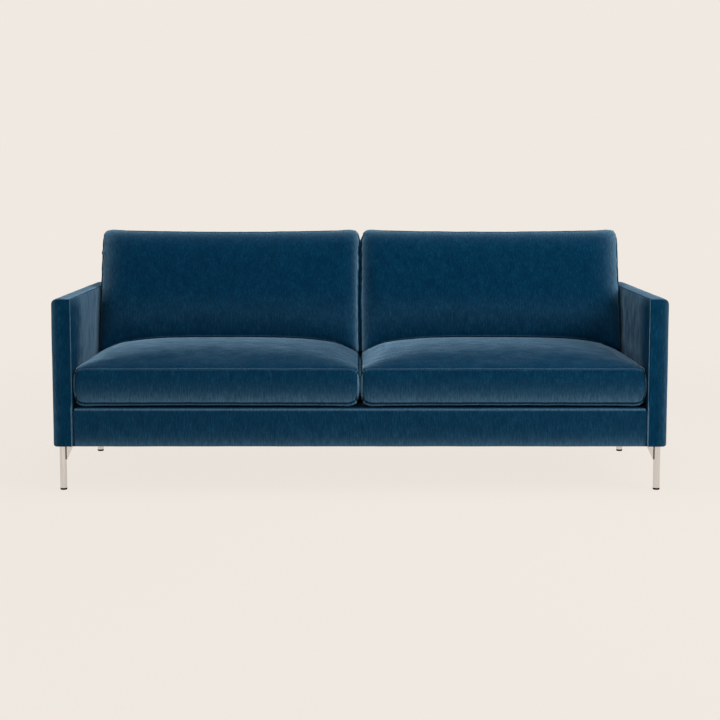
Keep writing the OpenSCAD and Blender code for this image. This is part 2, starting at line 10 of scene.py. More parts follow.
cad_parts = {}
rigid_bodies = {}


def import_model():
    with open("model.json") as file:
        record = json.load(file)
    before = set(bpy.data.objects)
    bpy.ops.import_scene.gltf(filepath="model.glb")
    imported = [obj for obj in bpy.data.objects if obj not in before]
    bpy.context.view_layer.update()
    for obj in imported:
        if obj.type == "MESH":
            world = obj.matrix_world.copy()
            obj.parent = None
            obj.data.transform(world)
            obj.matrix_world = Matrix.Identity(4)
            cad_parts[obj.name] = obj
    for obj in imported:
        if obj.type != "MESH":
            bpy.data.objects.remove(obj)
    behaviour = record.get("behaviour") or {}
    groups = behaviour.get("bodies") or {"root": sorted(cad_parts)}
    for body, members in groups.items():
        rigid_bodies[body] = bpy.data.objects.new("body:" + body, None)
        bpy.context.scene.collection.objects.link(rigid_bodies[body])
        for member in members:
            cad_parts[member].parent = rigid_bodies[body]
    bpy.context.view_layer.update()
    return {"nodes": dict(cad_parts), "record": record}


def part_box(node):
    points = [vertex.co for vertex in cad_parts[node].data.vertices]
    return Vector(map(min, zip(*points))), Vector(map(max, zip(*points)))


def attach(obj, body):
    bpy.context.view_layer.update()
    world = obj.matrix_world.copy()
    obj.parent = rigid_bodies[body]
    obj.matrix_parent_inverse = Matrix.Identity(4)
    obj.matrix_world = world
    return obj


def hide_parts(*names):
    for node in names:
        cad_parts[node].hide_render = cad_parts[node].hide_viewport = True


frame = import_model()
scene = bpy.context.scene

MM = 0.001
SIDES = {"left": -1, "right": 1}
# Two places closer than this are one place
NEAR = 0.01 * MM

# Sizes shared with the frame, in metres
RECLINE = math.radians(18.5)
ARM_LOW, ARM_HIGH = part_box("right_arm_cover")
RAIL_LOW, RAIL_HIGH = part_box("front_rail_cover")
ARM_IN, ARM_OUT = ARM_LOW.x, ARM_HIGH.x
FRONT, BACK = ARM_LOW.y, ARM_HIGH.y
BASE, ARM_TOP = ARM_LOW.z, ARM_HIGH.z
ARM_THICK = ARM_OUT - ARM_IN
CLOTH = 1.5 * MM
GAP = 0.4 * MM


def inside_back(z):
    """the depth of the leaning inside back at a height"""
    return BACK - ARM_THICK + math.tan(RECLINE) * (z - ARM_TOP)


# A cushion's sewn box stands on its lower seam; its zip is on the side towards +Y
# wide, deep, boxing: its sizes; corner, low_corner: its radii towards -Y and +Y
# crown, roll, belly: how high its faces swell; across, along: how full the crown is each way
# draw, squeeze, reach: how its boxing and corners draw in
# bow, ear, swell: the curves of its -Y edge, -Y corners and sides
# pitch: its grid; pressure, slack, cap: how its filling blows it up, and how far at most
SEAT = dict(
    wide=0.9564, deep=0.7217, boxing=0.109, corner=0.022, low_corner=0.022, crown=0.055, roll=0.005,
    belly=0.0125, across=3.6, along=2.3, draw=6 * MM, squeeze=0.026, reach=0.038, bow=2 * MM, ear=0.0,
    swell=0.0, pitch=12 * MM, pressure=1.6, slack=0.004, cap=5 * MM,
)
BACKREST = dict(
    wide=0.942, deep=0.398, boxing=0.214, corner=0.044, low_corner=0.01, crown=0.01, roll=0.012,
    belly=0.014, across=6.0, along=4.0, draw=0.5 * MM, squeeze=0.008, reach=0.05, bow=7 * MM, ear=12 * MM,
    swell=9 * MM, pitch=11 * MM, pressure=2.4, slack=0.01, cap=10 * MM,
)
# Where the right seat cushion's lower seam has its middle, and the right back cushion's foot
SEAT_PLACE = Vector((0.4784, -0.0882, 0.304))
FOOT = Vector((0.476, 0.0925, 0.4781))


# Modelling helpers


def take(piece):
    """makes a piece the one selected object"""
    bpy.ops.object.select_all(action="DESELECT")
    piece.select_set(True)
    bpy.context.view_layer.objects.active = piece


def named(name):
    """names the new primitive and puts its place into its mesh"""
    piece = bpy.context.object
    piece.name = piece.data.name = name
    bpy.ops.object.transform_apply(location=True, rotation=True, scale=True)
    return piece


def block(name, low, high):
    """a cube between two corners, the start of a piece"""
    bpy.ops.object.select_all(action="DESELECT")
    low, high = Vector(low), Vector(high)
    bpy.ops.mesh.primitive_cube_add(size=1, location=(low + high) / 2, scale=high - low)
    return named(name)


def modify(piece, kind, **settings):
    """adds a modifier and applies it"""
    take(piece)
    modifier = piece.modifiers.new("work", kind)
    for name, value in settings.items():
        setattr(modifier, name, value)
    bpy.ops.object.modifier_apply(modifier=modifier.name)
    return piece


def edit_faces(piece, chosen):
    """enters edit mode with only the chosen faces selected"""
    take(piece)
    for parts in (piece.data.vertices, piece.data.edges):
        parts.foreach_set("select", [False] * len(parts))
    for face in piece.data.polygons:
        face.select = chosen(face)
    bpy.context.tool_settings.mesh_select_mode = (False, False, True)
    bpy.ops.object.mode_set(mode="EDIT")


def bevel_edges(piece, chosen, width, segments):
    """rounds the edges whose two ends are both chosen"""
    take(piece)
    for edge in piece.data.edges:
        edge.select = all(chosen(piece.data.vertices[i].co) for i in edge.vertices)
    for vertex in piece.data.vertices:
        vertex.select = chosen(vertex.co)
    for face in piece.data.polygons:
        face.select = False
    bpy.context.tool_settings.mesh_select_mode = (False, True, False)
    bpy.ops.object.mode_set(mode="EDIT")
    bpy.ops.mesh.bevel(offset=width, segments=segments, affect="EDGES")
    bpy.ops.object.mode_set(mode="OBJECT")


def cut(piece, axis, places):
    """cuts a piece all the way through by planes across an axis"""
    take(piece)
    normal = Vector((axis == 0, axis == 1, axis == 2))
    bpy.ops.object.mode_set(mode="EDIT")
    for place in places:
        bpy.ops.mesh.select_all(action="SELECT")
        bpy.ops.mesh.bisect(plane_co=normal * place, plane_no=normal)
    bpy.ops.object.mode_set(mode="OBJECT")


def steps(start, end, pitch):
    """evenly spaced places between two ends, both left out"""
    count = max(1, round((end - start) / pitch))
    return [start + (end - start) * i / count for i in range(1, count)]


def beside(places, offsets):
    """the places, and others at offsets on both sides of each"""
    return sorted(p + s * o for p in places for o in offsets for s in ((-1, 1) if o else (1,)))


def left_copy(piece, name):
    """a copy of the right side's piece, to be mirrored to the left side"""
    copy = bpy.data.objects.new(name, piece.data.copy())
    scene.collection.objects.link(copy)
    copy.data.name = name
    return copy


def mirror(piece):
    """turns a piece of the right side into one of the left side"""
    piece.data.transform(Matrix.Scale(-1, 4, (1, 0, 0)))
    piece.data.flip_normals()
    return piece


def smooth(piece, angle=60):
    """shades a piece smooth, apart from edges sharper than an angle in degrees"""
    take(piece)
    bpy.ops.object.shade_smooth_by_angle(angle=math.radians(angle))


# The most sheen painted pale at a point
SHEEN_PAINT_CAP = 1.6


def store_painted_sheen(piece, shares):
    """stores how much sheen is painted pale at each point, for the velvet to read"""
    layer = piece.data.attributes.new("painted_sheen_share", "FLOAT", "POINT")
    layer.data.foreach_set("value", [min(SHEEN_PAINT_CAP, max(0.0, share)) for share in shares])


def keep_lean(piece, leans):
    """stores how far and which way the pile leans at each point, for the velvet to read"""
    layer = piece.data.attributes.new("pile_lean", "FLOAT_VECTOR", "POINT")
    layer.data.foreach_set("vector", [part for lean in leans for part in lean])


# Shares: how much of something there is at a place, from 0 to 1


def limited(value):
    """a value kept between 0 and 1"""
    return max(0.0, min(1.0, value))


def fade(distance, reach):
    """1 at a place, falling off with the distance from it"""
    return math.exp(-distance / reach)


def bell(distance, reach):
    """1 at a place, falling off on both sides of it as a bell does"""
    return math.exp(-((distance / reach) ** 2))


def between(place, low, high, power):
    """1 midway between two ends and 0 at both; a higher power makes it fuller"""
    return 1 - abs(2 * (place - low) / (high - low) - 1) ** power


def ripple(point, size, seed):
    """even noise, about -1 to 1, with bumps of a size in metres"""
    return noise.noise(point / size + Vector((seed * 7.31, seed * 3.77, seed * 5.13)))


# Seams: a furrow at the stitches, a lip beside it, and a highlight line painted on the lip

FURROW_HALF = 1.3 * MM
LIP_OUT = 2.2 * MM
LIP_HALF = 1.1 * MM
LIGHT_OUT = 2.0 * MM
LIGHT_HALF = 0.9 * MM


def seam_height(distance, lip, furrow):
    """the height of cloth at a distance from a seam"""
    return lip * bell(distance - LIP_OUT, LIP_HALF) - furrow * bell(distance, FURROW_HALF)


def lip_highlight(distance):
    """how much painted highlight the lip's line gets at a distance from a seam"""
    return bell(distance - LIGHT_OUT, LIGHT_HALF)


# Materials


def linear(code):
    """an sRGB hex colour as linear RGBA"""
    values = [int(code[i : i + 2], 16) / 255 for i in (1, 3, 5)]
    return [v / 12.92 if v <= 0.04045 else ((v + 0.055) / 1.055) ** 2.4 for v in values] + [1.0]


def put(tree, kind, inputs=None, **settings):
    """adds a node with its settings; an input takes a value or another node's output"""
    node = tree.nodes.new(kind)
    for name, value in settings.items():
        setattr(node, name, value)
    for name, value in (inputs or {}).items():
        if isinstance(value, bpy.types.NodeSocket):
            tree.links.new(value, node.inputs[name])
        else:
            node.inputs[name].default_value = value
    return node


def empty_tree(owner):
    """the emptied node tree of a material or a world"""
    owner.use_nodes = True
    owner.node_tree.nodes.clear()
    return owner.node_tree


def new_material(name, shader=None):
    """an empty material with its shader, its output and the object's own coordinates"""
    material = bpy.data.materials.new(name)
    tree = empty_tree(material)
    surface = put(tree, "ShaderNodeBsdfPrincipled", shader)
    put(tree, "ShaderNodeOutputMaterial", {"Surface": surface.outputs[0]})
    where = put(tree, "ShaderNodeTexCoord").outputs["Object"]
    return material, tree, surface, where


def spots(tree, where, size, detail, rough):
    """noise whose bumps have a size in millimetres along X, Y and Z"""
    scaled = put(tree, "ShaderNodeMapping", {"Vector": where, "Scale": [1 / (s * MM) for s in size]})
    inputs = {"Vector": scaled.outputs[0], "Scale": 1.0, "Detail": detail, "Roughness": rough}
    return put(tree, "ShaderNodeTexNoise", inputs).outputs["Fac"]


def blend_colours(tree, share, colours):
    """a colour ramp of several places and hex colours"""
    ramp = put(tree, "ShaderNodeValToRGB", {"Fac": share})
    stops = ramp.color_ramp.elements
    for index, (place, code) in enumerate(colours):
        stop = stops[index] if index < len(stops) else stops.new(place)
        stop.position = place
        stop.color = linear(code)
    return ramp.outputs["Color"]


def weighed(tree, parts):
    """the sum of several values, each times its weight"""
    total = None
    for value, weight in parts:
        inputs = {0: value, 1: weight}
        if total is not None:
            inputs[2] = total
        operation = "MULTIPLY" if total is None else "MULTIPLY_ADD"
        total = put(tree, "ShaderNodeMath", inputs, operation=operation).outputs[0]
    return total


def coat(tree, surface, colour, sheen, rough, height, strength, depth):
    """links a colour, a roughness between two values, and a relief of a depth in metres to a shader"""
    gloss = put(tree, "ShaderNodeMapRange", {"Value": sheen, "To Min": rough[0], "To Max": rough[1]})
    bump = put(tree, "ShaderNodeBump", {"Height": height, "Strength": strength, "Distance": depth})
    tree.links.new(colour, surface.inputs["Base Color"])
    tree.links.new(gloss.outputs[0], surface.inputs["Roughness"])
    tree.links.new(bump.outputs[0], surface.inputs["Normal"])


def velvet_material():
    """Cotton velvet, cut pile 1.5 mm high. Brush strokes stay in it as fine lighter and darker streaks, and
    it turns pale where one looks along the pile."""
    shader = {"Roughness": 0.9, "Specular IOR Level": 0.0, "Sheen Weight": 1.0, "Sheen Roughness": 0.33,
              "Sheen Tint": linear("#98bfda")}
    material, tree, surface, where = new_material("blue_cotton_velvet", shader)
    strokes = spots(tree, where, (3.4, 7, 26), 3, 0.6)
    marks = spots(tree, where, (30, 30, 40), 4, 0.6)
    pile = spots(tree, where, (3, 3, 3.4), 2, 0.7)
    lie = weighed(tree, [(strokes, 0.38), (marks, 0.22), (pile, 0.4)])
    colour = blend_colours(tree, lie, [(0.33, "#01223a"), (0.5, "#042e48"), (0.67, "#11435f")])
    # Painted sheen: where the attribute marks it, the colour turns pale grey-blue along the brush strokes,
    # for highlights on edges and lips and light bands round the cushions
    edge = put(tree, "ShaderNodeAttribute", attribute_name="painted_sheen_share").outputs["Fac"]
    painted_sheen_mix = put(tree, "ShaderNodeMath", {0: edge, 1: strokes}, operation="MULTIPLY").outputs[0]
    inputs = {"Factor": painted_sheen_mix, "A": colour, "B": linear("#6b90a8")}
    mixed = put(tree, "ShaderNodeMix", inputs, data_type="RGBA")
    tree.links.new(mixed.outputs["Result"], surface.inputs["Base Color"])
    # The pile's direction at each point stands in for the normal of the cloth
    upright = put(tree, "ShaderNodeNewGeometry").outputs["Normal"]
    lean = put(tree, "ShaderNodeAttribute", attribute_name="pile_lean").outputs["Vector"]
    leaning = put(tree, "ShaderNodeVectorMath", {0: upright, 1: lean}, operation="ADD")
    pile_way = put(tree, "ShaderNodeVectorMath", {0: leaning.outputs[0]}, operation="NORMALIZE")
    height = weighed(tree, [(pile, 0.5), (strokes, 0.12), (marks, 1.3)])
    bump = put(tree, "ShaderNodeBump", {"Height": height, "Strength": 0.6, "Distance": 2.2 * MM})
    tree.links.new(pile_way.outputs[0], bump.inputs["Normal"])
    tree.links.new(bump.outputs[0], surface.inputs["Normal"])
    return material


def grained(name, colours, size, rough=(0.6, 0.8), metallic=0.0, depth=0.2, specular=0.5):
    """a material whose colour, roughness and relief follow one grain; size and depth in millimetres"""
    shader = {"Metallic": metallic, "Specular IOR Level": specular}
    material, tree, surface, where = new_material(name, shader)
    grain = spots(tree, where, size, 4, 0.6)
    clouds = spots(tree, where, [s * 9 for s in size], 2, 0.5)
    share = weighed(tree, [(grain, 0.6), (clouds, 0.4)])
    colour = blend_colours(tree, share, [(0.35, colours[0]), (0.65, colours[1])])
    coat(tree, surface, colour, share, rough, grain, 0.5, depth * MM)
    return material


def woven(name, colours, pitch):
    """a cloth whose threads cross at a pitch in millimetres"""
    material, tree, surface, where = new_material(name)
    turns = 2 * math.pi / (pitch * MM)
    axes = put(tree, "ShaderNodeSeparateXYZ", {0: where})
    waves = []
    for axis in "XYZ":
        angle = put(tree, "ShaderNodeMath", {0: axes.outputs[axis], 1: turns}, operation="MULTIPLY")
        waves.append(put(tree, "ShaderNodeMath", {0: angle.outputs[0]}, operation="SINE").outputs[0])
    threads = weighed(tree, [(wave, 0.33) for wave in waves])
    fibres = spots(tree, where, (pitch * 2, pitch * 2, pitch * 2), 3, 0.6)
    share = weighed(tree, [(threads, 0.25), (fibres, 0.9)])
    colour = blend_colours(tree, share, [(0.25, colours[0]), (0.65, colours[1])])
    coat(tree, surface, colour, fibres, (0.75, 0.9), share, 0.6, 0.3 * MM)
    return material


FINISHES = {
    "velvet": velvet_material(),
    # Satin nickel plate on drawn steel tube: warm grey, with faint drawing lines down the tube
    "nickel": grained("satin_nickel_plate", ("#cfcac6", "#e6e2df"), (0.9, 0.9, 26),
                      rough=(0.16, 0.3), metallic=1.0, depth=0.02),
    # Moulded ABS with a fine grain: black, dull, a little dust in the grain
    "glide": grained("moulded_black_abs", ("#030303", "#0a0a0b"), (0.8, 0.8, 0.8),
                     rough=(0.6, 0.75), depth=0.05, specular=0.1),
    # Sawn beech: pinkish tan, grain along the rail
    "timber": grained("sawn_beech", ("#a9794f", "#cfa577"), (60, 7, 7)),
    # Birch plywood: pale, with layers 1.5 mm thick on its edges
    "plywood": grained("birch_plywood", ("#b98f5c", "#dcc08e"), (1.5, 30, 30)),
    # Grey-brown upholsterer's board: short fibres
    "card": grained("upholsterers_board", ("#98794f", "#b9996c"), (3, 3, 3)),
    # Polyurethane foam: cream, open cells
    "foam": grained("cut_polyurethane_foam", ("#dccf9b", "#f2e8bf"), (1.8, 1.8, 1.8),
                    rough=(0.85, 0.95), depth=0.6),
    # Carded polyester fibre: white and fluffy
    "fibre_wrap": grained("carded_polyester_fibre", ("#dddcd6", "#f6f5f1"), (9, 2, 9),
                          rough=(0.9, 1.0), depth=1.5),
    # Needled felt of mixed waste fibre: grey with flecks
    "felt": grained("needled_felt", ("#5c574f", "#9b948a"), (1.5, 4, 1.5), rough=(0.9, 1.0),
                    depth=0.6),
    # Woven polypropylene cloth: black, threads about 1 mm apart, drawn at 2 mm so that they show
    "black_cloth": woven("woven_black_polypropylene", ("#0d0d0f", "#2c2c30"), 2),
    # Elastic webbing: charcoal, coarse rib at 3 mm
    "webbing": woven("elastic_webbing", ("#242427", "#4a4a4f"), 3),
    # Woven nylon zip tape: dark blue, threads drawn at 1.2 mm
    "zip_tape": woven("woven_nylon_tape", ("#0a1f30", "#17374f"), 1.2),
    # Oiled spring steel wire: dark grey with drawing marks
    "steel": grained("oiled_spring_steel", ("#5d6268", "#8d9298"), (4, 4, 4), rough=(0.3, 0.5),
                     metallic=1.0, depth=0.03),
}

# The CAD's own meshes get the same finishes
for row in frame["record"]["subparts"]:
    node_mesh = frame["nodes"][row["node"]].data
    node_mesh.materials.clear()
    node_mesh.materials.append(FINISHES[row["material_slot"]])


def dress(piece, slot_name, body, *replaced):
    """gives a piece its finish, its body and the nodes that it stands for"""
    piece.data.materials.clear()
    piece.data.materials.append(FINISHES[slot_name])
    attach(piece, body)
    if replaced:
        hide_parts(*replaced)
    return piece


# Arms, front rail and back: velvet drawn tight over foam

EDGE = 7 * MM
FOLD = 2.5 * MM
SHOULDER = 16 * MM
GRID = 15 * MM
SEAM_OFFSETS = (0.0, 1.0 * MM, 2.2 * MM, 4.2 * MM)

# A face looks along an axis when its normal has this much of it
FACING = 0.6
# The distance of a seam from a point that has none near it
NO_SEAM = 1.0
# Heights of the foam's swell, each with the size of its bumps
FOAM_SWELLS = ((0.55 * MM, 0.09), (0.25 * MM, 0.03))
# The velvet's gathers at a seam: their height, size and reach
GATHER, GATHER_SIZE, GATHER_REACH = 0.5 * MM, 0.02, 12 * MM


def upholster(piece, seam_distance, puff, sheen_paint_at, seed):
    """moves the cover of a boxed piece: furrows and lips at its seams, foam that swells between them; it
    also stores sheen painted as highlights on rounded edges and lips, and more where a function gives it
    """
    mesh = piece.data
    normals = [vertex.normal.copy() for vertex in mesh.vertices]
    edges = []
    for vertex, normal in zip(mesh.vertices, normals):
        point = vertex.co.copy()
        distance = seam_distance(point, normal)
        swell = sum(height * ripple(point, size, seed + i) for i, (height, size) in enumerate(FOAM_SWELLS))
        pull = GATHER * ripple(point, GATHER_SIZE, seed + 2) * fade(distance, GATHER_REACH)
        rise = seam_height(distance, 1.0 * MM, 2.4 * MM) + swell + pull + puff(point, normal)
        vertex.co = point + normal * rise
        # On a rounded edge two parts of the normal are large, and sheen is painted there as a highlight
        rounding_highlight = max(0.0, sorted(abs(part) for part in normal)[1] - 0.5) / 0.2
        edges.append(0.6 * min(1.0, rounding_highlight) + 0.6 * lip_highlight(distance) + sheen_paint_at(point, normal))
    store_painted_sheen(piece, edges)
    smooth(piece)


def arm_seams(point, normal):
    """how far a point of the arm's front, rear or top is from the seams of its panels"""
    if abs(normal.y) > FACING:
        return abs(point.x - ARM_IN - FOLD)
    if normal.z > FACING:
        return min(abs(point.x - ARM_IN - FOLD), abs(point.x - ARM_OUT + SHOULDER))
    return NO_SEAM


PANEL_SWELL = 1.5 * MM
OUTER_SWELL = 1.0 * MM
INNER_SWELL = 7 * MM
# How fast the inner side swells from its front, from the back cushion, from its top and from the seat
INNER_REACHES = (0.05, 0.05, 0.02, 0.03)


def arm_puff(point, normal):
    """the foam's swell on an arm's panels; it is fullest on the inner side, above the seat"""
    if abs(normal.y) > FACING or normal.z > FACING:
        return PANEL_SWELL * between(point.x, ARM_IN, ARM_OUT, 2)
    if normal.x > FACING:
        return OUTER_SWELL * between(point.z, BASE, ARM_TOP, 8) * between(point.y, FRONT, BACK, 8)
    if normal.x > -FACING:
        return 0.0
    cushion_front = FOOT.y - 0.03 + (point.z - FOOT.z) * math.tan(RECLINE)
    free = [point.y - FRONT, cushion_front - point.y, ARM_TOP - point.z,
            point.z - SEAT_PLACE.z - SEAT["boxing"]]
    shares = [1 - fade(max(0.0, gap), reach) for gap, reach in zip(free, INNER_REACHES)]
    return INNER_SWELL * math.prod(shares)


def arm_sheen_paint(point, normal):
    """painted sheen: on the front panel at its outer and inner edges, and on the inner side at its top"""
    if normal.y > -0.3:
        return 0.35 * fade(ARM_TOP - point.z, 14 * MM) if normal.x < -FACING else 0.0
    # The painted highlight line is narrower above the front rail, and beside it the painted sheen is taken
    # away, as painted shade of the gap
    line = 0.6 * FOLD if point.z > RAIL_HIGH.z else 1.5 * FOLD
    if point.x < ARM_IN + max(line, FOLD):
        return 1.5 if point.x < ARM_IN + line else 0.3
    return 0.7 * fade(ARM_OUT - point.x, 7 * MM) - 0.6 * (point.x < ARM_IN + 3.2 * FOLD)


def for_left(function):
    """a function of the right arm's points, made to take the left arm's"""
    across = Matrix.Scale(-1, 3, (1, 0, 0))
    return lambda point, normal: function(across @ point, across @ normal)


right_arm = block("right_arm", ARM_LOW, ARM_HIGH)
bevel_edges(right_arm, lambda p: p.x > ARM_OUT - MM and p.z > ARM_TOP - MM, SHOULDER, 5)
bevel_edges(right_arm, lambda p: p.x > ARM_OUT - MM and p.z < BASE + MM, 9 * MM, 4)
modify(right_arm, "BEVEL", width=FOLD, segments=4, limit_method="ANGLE")
seam_places = [ARM_IN + FOLD + o for o in SEAM_OFFSETS] + [ARM_OUT - FOLD - o for o in SEAM_OFFSETS]
seam_places += beside((ARM_OUT - SHOULDER,), SEAM_OFFSETS[:3])
cut(right_arm, 0, seam_places + steps(ARM_IN + 2 * EDGE, ARM_OUT - 2 * EDGE, GRID))
cut(right_arm, 1, steps(FRONT + EDGE, BACK - EDGE, GRID))
cut(right_arm, 2, [ARM_TOP - FOLD - o for o in SEAM_OFFSETS] + steps(BASE + EDGE, ARM_TOP - 2 * EDGE, GRID))
left_arm = mirror(left_copy(right_arm, "left_arm"))
upholster(right_arm, arm_seams, arm_puff, arm_sheen_paint, 1)
upholster(left_arm, for_left(arm_seams), for_left(arm_puff), for_left(arm_sheen_paint), 2)


def arm_lean(point):
    """the pile is stroked forwards on the front of an arm's inner side, and parts along its top seam"""
    if abs(abs(point.x) - ARM_IN - FOLD) < 1.2 * MM and point.z > ARM_TOP - MM:
        return (0, -1.0, 0)
    if point.y < FRONT + 0.5 * FOLD:
        inner = abs(point.x) < ARM_IN + 1.5 * FOLD
        return (0, 0, 0.9 if inner else 0.6 * fade(ARM_OUT - abs(point.x), 6 * MM))
    if abs(point.x) > ARM_IN + 0.8 * MM:
        return (0, 0, 0)
    # The stroke begins 2 cm behind the front edge and fades out unevenly over 22 cm
    behind = (point.y - FRONT - 0.02 - 0.05 * ripple(point, 0.04, 9)) / 0.22
    least = (0.14 if point.x > 0 else 0.0) + 0.1 * ripple(point, 0.05, 10)
    return (0, -max(least, 0.55 * (1 - limited(behind)) ** 1.5), 0)


for side, arm in (("left", left_arm), ("right", right_arm)):
    keep_lean(arm, [arm_lean(vertex.co) for vertex in arm.data.vertices])
    dress(arm, "velvet", "frame", f"{side}_arm_cover", f"{side}_arm_foam")

RAIL_ROUND = 16 * MM
RAIL_EDGE = 5 * MM


def rail_seams(point, normal):
    """how far a point of the front rail's face or top is from the seams at its two ends"""
    ends = abs(abs(point.x) - RAIL_HIGH.x + RAIL_EDGE)
    return ends if abs(normal.y) > 0.5 or normal.z > 0.5 else NO_SEAM


def rail_puff(point, normal):
    """the foam's swell on the rail's face"""
    along = 1 - (point.x / RAIL_HIGH.x) ** 16
    return 1.6 * MM * between(point.z, RAIL_LOW.z, RAIL_HIGH.z, 4) * along if normal.y < -0.5 else 0.0


def rail_sheen_paint(point, normal):
    """painted sheen on the rail's face along its lower and upper edges; at its ends the painted sheen is
    taken away, as painted shade where the rail meets the arms
    """
    if abs(point.x) > RAIL_HIGH.x - RAIL_EDGE - 4 * MM:
        return -0.8
    if normal.y > -0.5:
        return 0.0
    return 0.03 + 0.6 * fade(point.z - RAIL_LOW.z, 18 * MM) + 0.6 * (point.z > RAIL_HIGH.z - 4 * MM)


front_rail_pad = block("front_rail_pad", RAIL_LOW, RAIL_HIGH)
bevel_edges(front_rail_pad, lambda p: p.z > RAIL_HIGH.z - MM and abs(p.x) > RAIL_HIGH.x - MM, RAIL_ROUND, 7)
bevel_edges(front_rail_pad, lambda p: p.y < RAIL_LOW.y + MM, RAIL_EDGE, 4)
rail_ends = [s * (RAIL_HIGH.x - RAIL_EDGE - o) for s in (-1, 1) for o in SEAM_OFFSETS]
cut(front_rail_pad, 0, rail_ends + steps(-RAIL_HIGH.x + 10 * MM, RAIL_HIGH.x - 10 * MM, GRID))
cut(front_rail_pad, 1, steps(RAIL_LOW.y + RAIL_EDGE, RAIL_HIGH.y, GRID))
cut(front_rail_pad, 2, steps(RAIL_LOW.z + RAIL_EDGE, RAIL_HIGH.z - RAIL_EDGE, 12 * MM))
upholster(front_rail_pad, rail_seams, rail_puff, rail_sheen_paint, 3)
rail_leans = [(0, -0.9 * (vertex.normal.z > 0.9), 0) for vertex in front_rail_pad.data.vertices]
keep_lean(front_rail_pad, rail_leans)
dress(front_rail_pad, "velvet", "frame", "front_rail_cover", "front_rail_foam")


ARC_STEPS = 6


def turn(centre, radius, start, end):
    """points of an arc in Y and Z, angles in degrees from +Y towards +Z"""
    angles = [math.radians(start + (end - start) * i / ARC_STEPS) for i in range(ARC_STEPS + 1)]
    return [(centre[0] + radius * math.cos(a), centre[1] + radius * math.sin(a)) for a in angles]


HEM = 3 * MM


def drawn_sheet(name, line, half, thick, seed, seams=(), swell=0.6 * MM, sag=0.0):
    """a sheet of cloth drawn across the sofa along a line in Y and Z, with furrows at its seams"""
    lengths = [0.0]
    for a, b in zip(line, line[1:]):
        lengths.append(lengths[-1] + math.dist(a, b))
    total = lengths[-1]
    bpy.ops.object.select_all(action="DESELECT")
    bpy.ops.mesh.primitive_plane_add(size=1)
    piece = named(name)
    for vertex in piece.data.vertices:
        vertex.co.x *= 2 * half
        vertex.co.y *= total
    hems = beside((HEM - half, half - HEM), (0.0, 1.4 * MM))
    cut(piece, 0, hems + steps(8 * MM - half, half - 8 * MM, GRID))
    runs = beside(seams, SEAM_OFFSETS) + lengths[1:-1]
    runs += [run for run in steps(0, total, GRID * 0.8) if all(abs(run - other) > HEM for other in runs)]
    cut(piece, 1, [run - total / 2 for run in runs])
    edges = []
    for vertex in piece.data.vertices:
        x, run = vertex.co.x, vertex.co.y + total / 2
        index = max(i for i in range(len(line) - 1) if lengths[i] <= run + NEAR)
        stretch = lengths[index + 1] - lengths[index]
        here, there = line[index], line[index + 1]
        along = Vector((0, there[0] - here[0], there[1] - here[1])).normalized()
        point = Vector((x, here[0], here[1])) + along * ((run - lengths[index]) / stretch) * stretch
        distance = min([abs(run - seam) for seam in seams] + [abs(abs(x) - half + HEM)])
        rise = seam_height(distance, 0.6 * MM, 0.8 * MM) + swell * ripple(point, 0.08, seed)
        middle = (1 - (x / half) ** 2) * between(run, 0, total, 2)
        vertex.co = point + Vector((0, -along.z, along.y)) * (rise + sag * middle)
        # Sheen is painted on each lip as a highlight line
        edges.append(0.8 * lip_highlight(distance))
    store_painted_sheen(piece, edges)
    modify(piece, "SOLIDIFY", thickness=thick, offset=-1)
    smooth(piece)
    return piece, (2 * half, total)


# The inside back goes up, over the top and down behind; the outside back goes down and under
REAR_EDGE = 2.8 * MM
BACK_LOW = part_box("outside_back_cover")[0]
DECK_LOW, DECK_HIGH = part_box("deck_cloth")
DUST_LOW, DUST_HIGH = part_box("dust_cover")
inside_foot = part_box("inside_back_cover")[0]
crest = (inside_back(ARM_TOP - EDGE) + EDGE / math.cos(RECLINE), ARM_TOP - EDGE)
inside_line = [(inside_foot.y, inside_foot.z)] + turn(crest, EDGE, 180 - math.degrees(RECLINE), 90)
inside_line += turn((BACK - REAR_EDGE, ARM_TOP - REAR_EDGE), REAR_EDGE, 90, 0)
inside_line += [(BACK - 0.9 * MM, ARM_TOP - REAR_EDGE - fall * MM) for fall in (3, 9)]
outside_line = [(BACK + 0.3 * MM, ARM_TOP - REAR_EDGE + 0.8 * MM), (BACK + 0.3 * MM, BASE + EDGE)]
outside_line += turn((BACK - EDGE, BASE + EDGE), EDGE, 0, -90)[1:] + [(BACK_LOW.y, BASE)]
inside_cover, inside_flat = drawn_sheet("inside_back_velvet", inside_line, ARM_IN, CLOTH, 5, (0.401,))
outside_cover, outside_flat = drawn_sheet("outside_back_velvet", outside_line, ARM_IN, CLOTH, 6, (0.006,))
dress(inside_cover, "velvet", "frame", "inside_back_cover")
dress(outside_cover, "velvet", "frame", "outside_back_cover")

DECK_ROUND = 1.5 * MM
deck_line = [(DECK_LOW.y, DECK_LOW.z - 6 * MM), (DECK_LOW.y, DECK_HIGH.z - DECK_ROUND)]
deck_line += turn((DECK_LOW.y + DECK_ROUND, DECK_HIGH.z - DECK_ROUND), DECK_ROUND, 180, 90)[1:]
deck_line.append((DECK_HIGH.y, DECK_HIGH.z))
deck, deck_flat = drawn_sheet("deck_lining", deck_line, ARM_IN, 1.1 * MM, 7, (0.06,), swell=0.3 * MM)
dress(deck, "black_cloth", "frame", "deck_cloth")

dust_line = [(DUST_HIGH.y, DUST_LOW.z), (DUST_LOW.y, DUST_LOW.z)]
dust, dust_flat = drawn_sheet("base_dust_cloth", dust_line, DUST_HIGH.x, 0.8 * MM, 8,
                              swell=0.4 * MM, sag=3 * MM)
dress(dust, "black_cloth", "frame", "dust_cover")


# Cushions


